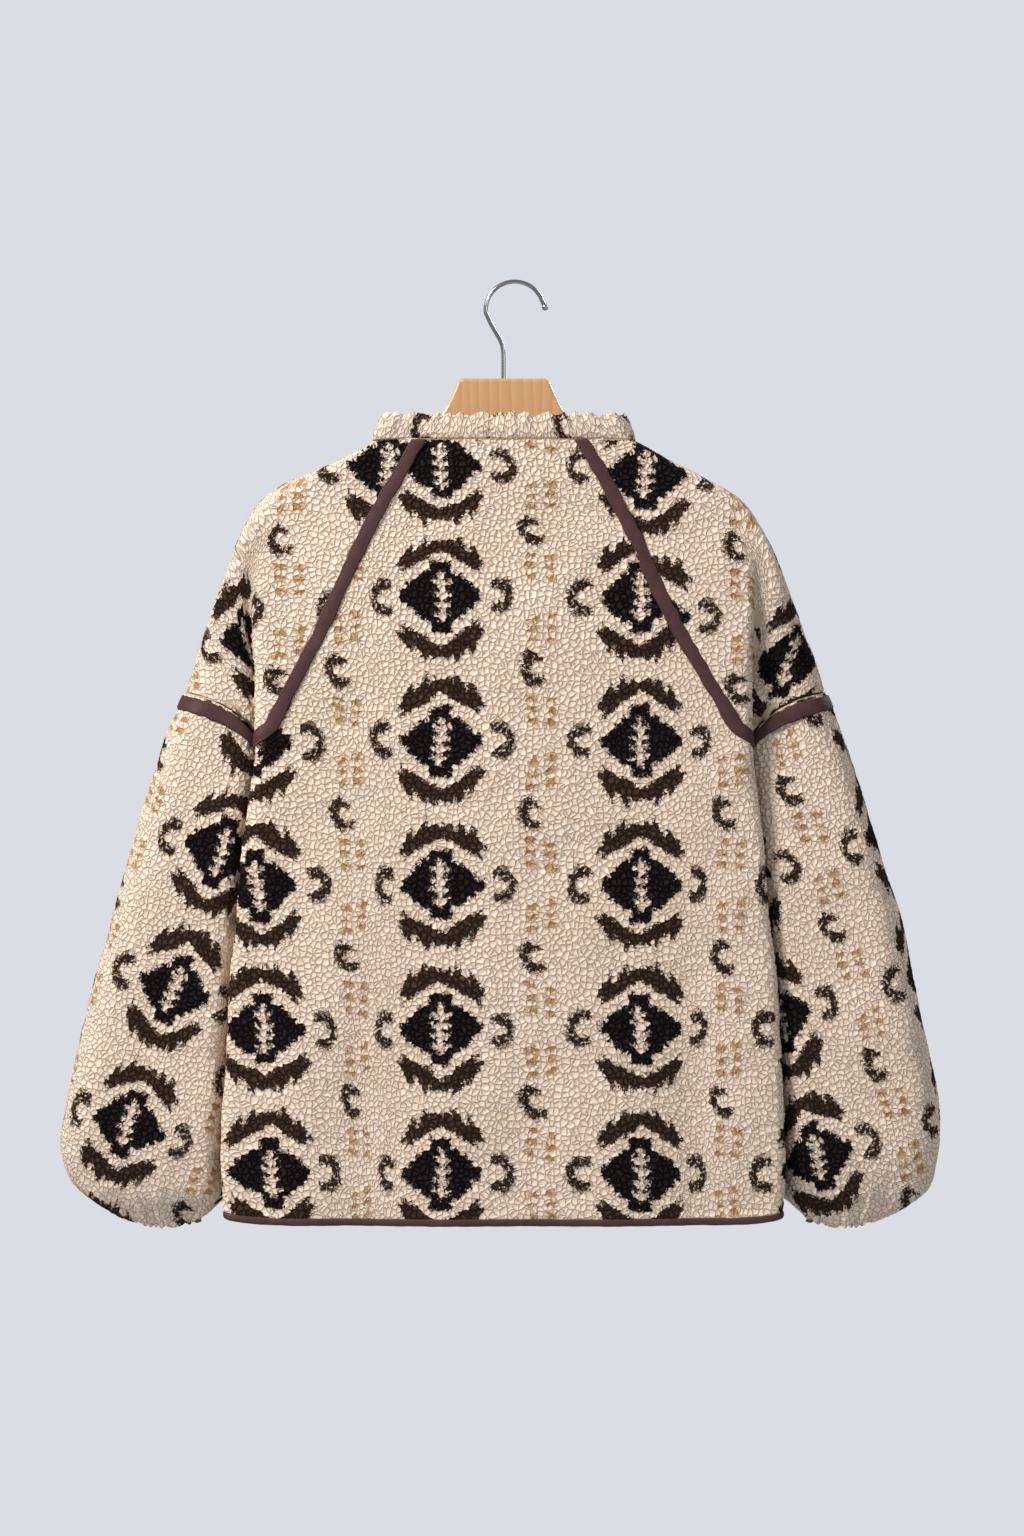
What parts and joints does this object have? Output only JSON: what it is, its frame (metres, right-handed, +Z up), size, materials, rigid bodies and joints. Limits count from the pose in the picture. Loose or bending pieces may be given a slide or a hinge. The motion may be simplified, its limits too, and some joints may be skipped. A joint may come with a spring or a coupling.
{
  "type": "half-zip sweatshirt on a hanger",
  "caption": "Thick fleece half-zip sweatshirt with raglan shoulders, full sleeves and a stand collar, hanging on a wooden clothes hanger with a wire hook.",
  "frame": {"origin": "where a rail bears on the inside of the hanger's hook", "axes": "+X to the wearer's right, +Y out of the garment's front, +Z up"},
  "size_m": [0.7561, 0.1075, 0.8132],
  "materials": {
    "fleece": "thick curly teddy fleece with dark brown, black and gold knitted figures",
    "binding": "smooth woven brown tape",
    "zip_tape": "woven zip tape",
    "zip_teeth": "moulded brown teeth",
    "zip_metal": "satin metal",
    "wood": "clear satin varnish on pale wood",
    "steel": "polished nickel"
  },
  "bodies": {
    "garment": {"back_panel": "fleece", "front_panel": "fleece", "upper_sleeve_left": "fleece", "upper_sleeve_right": "fleece", "lower_sleeve_left": "fleece", "lower_sleeve_right": "fleece", "collar": "fleece", "raglan_tape_back_left": "binding", "raglan_tape_back_right": "binding", "raglan_tape_front_left": "binding", "raglan_tape_front_right": "binding", "arm_band_left": "binding", "arm_band_right": "binding", "hem_binding": "binding", "zip_tape_left": "zip_tape", "zip_tape_right": "zip_tape", "zip_chain": "zip_teeth", "zip_stop": "zip_teeth", "zip_slider": "zip_metal", "hanger_body": "wood", "hanger_hook": "steel"},
    "zip_pull_tab": {"zip_pull": "zip_metal"}
  },
  "joints": [
    {"name": "pull_swing", "type": "hinge", "parent": "garment", "child": "zip_pull_tab", "pos_m": [-0.0096, 0.03985, -0.1589], "axis": [1, 0, 0], "range_deg": [0, 150]}
  ]
}
